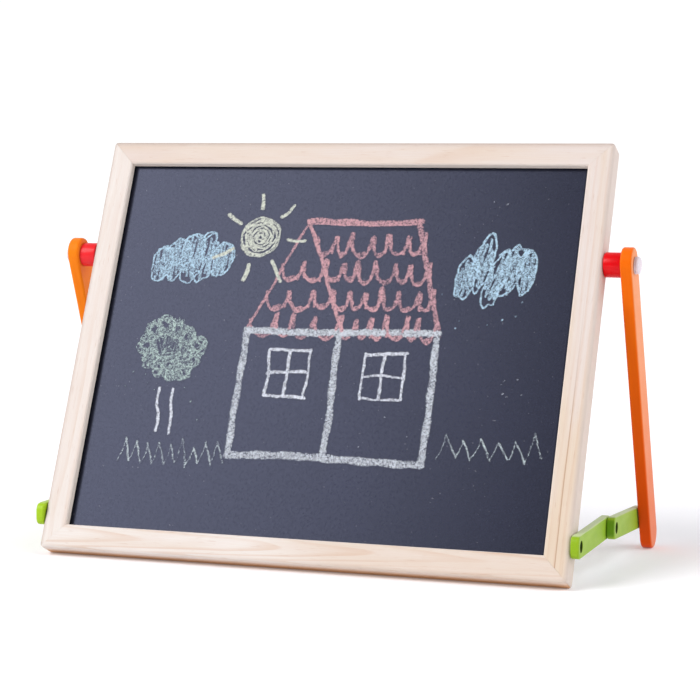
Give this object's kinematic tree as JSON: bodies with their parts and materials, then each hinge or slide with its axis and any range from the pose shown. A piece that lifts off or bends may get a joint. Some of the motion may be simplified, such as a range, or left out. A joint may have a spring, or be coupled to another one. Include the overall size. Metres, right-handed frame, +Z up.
{
  "type": "table-top easel",
  "caption": "Children's table-top easel: a leaning mitred wood frame holds a chalkboard and a whiteboard, on folding side legs with hinged links.",
  "frame": {"origin": "on the table, below the middle of the box round the open easel", "axes": "+Z up, -Y towards the child who draws on the chalkboard, +X to the right as seen from there, along the width of the frame"},
  "size_m": [0.5676, 0.2526, 0.382],
  "materials": {
    "pine": "clear matt lacquer",
    "beech": "bare",
    "hardboard": "bare",
    "chalkboard_paint": "matt chalkboard paint",
    "whiteboard_lacquer": "gloss dry-wipe lacquer",
    "orange_paint": "satin paint",
    "red_paint": "satin paint",
    "green_paint": "satin paint",
    "zinc_steel": "zinc plated",
    "brass": "plain",
    "clear_plastic": "frosted translucent"
  },
  "bodies": {
    "frame": {"top_rail": "pine", "bottom_rail": "pine", "left_stile": "pine", "right_stile": "pine", "top_left_dowel": "beech", "top_right_dowel": "beech", "bottom_left_dowel": "beech", "bottom_right_dowel": "beech", "chalkboard_panel": "chalkboard_paint", "core_sheet": "hardboard", "whiteboard_panel": "whiteboard_lacquer", "left_spacer": "red_paint", "left_pivot_bolt": "zinc_steel", "left_pivot_insert": "brass", "left_pivot_cap_base": "clear_plastic", "left_pivot_cap": "clear_plastic", "left_frame_link_screw": "zinc_steel", "right_spacer": "red_paint", "right_pivot_bolt": "zinc_steel", "right_pivot_insert": "brass", "right_pivot_cap_base": "clear_plastic", "right_pivot_cap": "clear_plastic", "right_frame_link_screw": "zinc_steel"},
    "left_leg": {"left_leg": "orange_paint", "left_leg_link_insert": "brass"},
    "left_frame_link": {"left_frame_link": "green_paint", "left_link_nut": "zinc_steel", "left_link_bolt": "zinc_steel"},
    "left_leg_link": {"left_leg_link": "green_paint", "left_leg_link_screw": "zinc_steel"},
    "right_leg": {"right_leg": "orange_paint", "right_leg_link_insert": "brass"},
    "right_frame_link": {"right_frame_link": "green_paint", "right_link_nut": "zinc_steel", "right_link_bolt": "zinc_steel"},
    "right_leg_link": {"right_leg_link": "green_paint", "right_leg_link_screw": "zinc_steel"}
  },
  "joints": [
    {"name": "left_leg_fold", "type": "hinge", "parent": "frame", "child": "left_leg", "pos_m": [-0.2719, 0.00469, 0.27332], "axis": [-1, 0, 0], "range_deg": [0, 46.7]},
    {"name": "left_frame_link_fold", "type": "hinge", "parent": "frame", "child": "left_frame_link", "pos_m": [-0.2541, -0.10742, 0.03679], "axis": [1, 0, 0], "range_deg": [0, 65.8]},
    {"name": "left_leg_link_fold", "type": "hinge", "parent": "left_frame_link", "child": "left_leg_link", "pos_m": [-0.262, -0.00172, 0.03679], "axis": [-1, 0, 0], "range_deg": [0, 173.62]},
    {"name": "right_leg_fold", "type": "hinge", "parent": "frame", "child": "right_leg", "pos_m": [0.2719, 0.00469, 0.27332], "axis": [-1, 0, 0], "range_deg": [0, 46.7]},
    {"name": "right_frame_link_fold", "type": "hinge", "parent": "frame", "child": "right_frame_link", "pos_m": [0.2541, -0.10742, 0.03679], "axis": [1, 0, 0], "range_deg": [0, 65.8]},
    {"name": "right_leg_link_fold", "type": "hinge", "parent": "right_frame_link", "child": "right_leg_link", "pos_m": [0.262, -0.00172, 0.03679], "axis": [-1, 0, 0], "range_deg": [0, 173.62]}
  ],
  "couplings": [
    {"joint": "left_frame_link_fold", "follows": "left_leg_fold", "ratio": 1.409},
    {"joint": "left_leg_link_fold", "follows": "left_leg_fold", "ratio": 3.7178},
    {"joint": "right_frame_link_fold", "follows": "right_leg_fold", "ratio": 1.409},
    {"joint": "right_leg_link_fold", "follows": "right_leg_fold", "ratio": 3.7178}
  ]
}
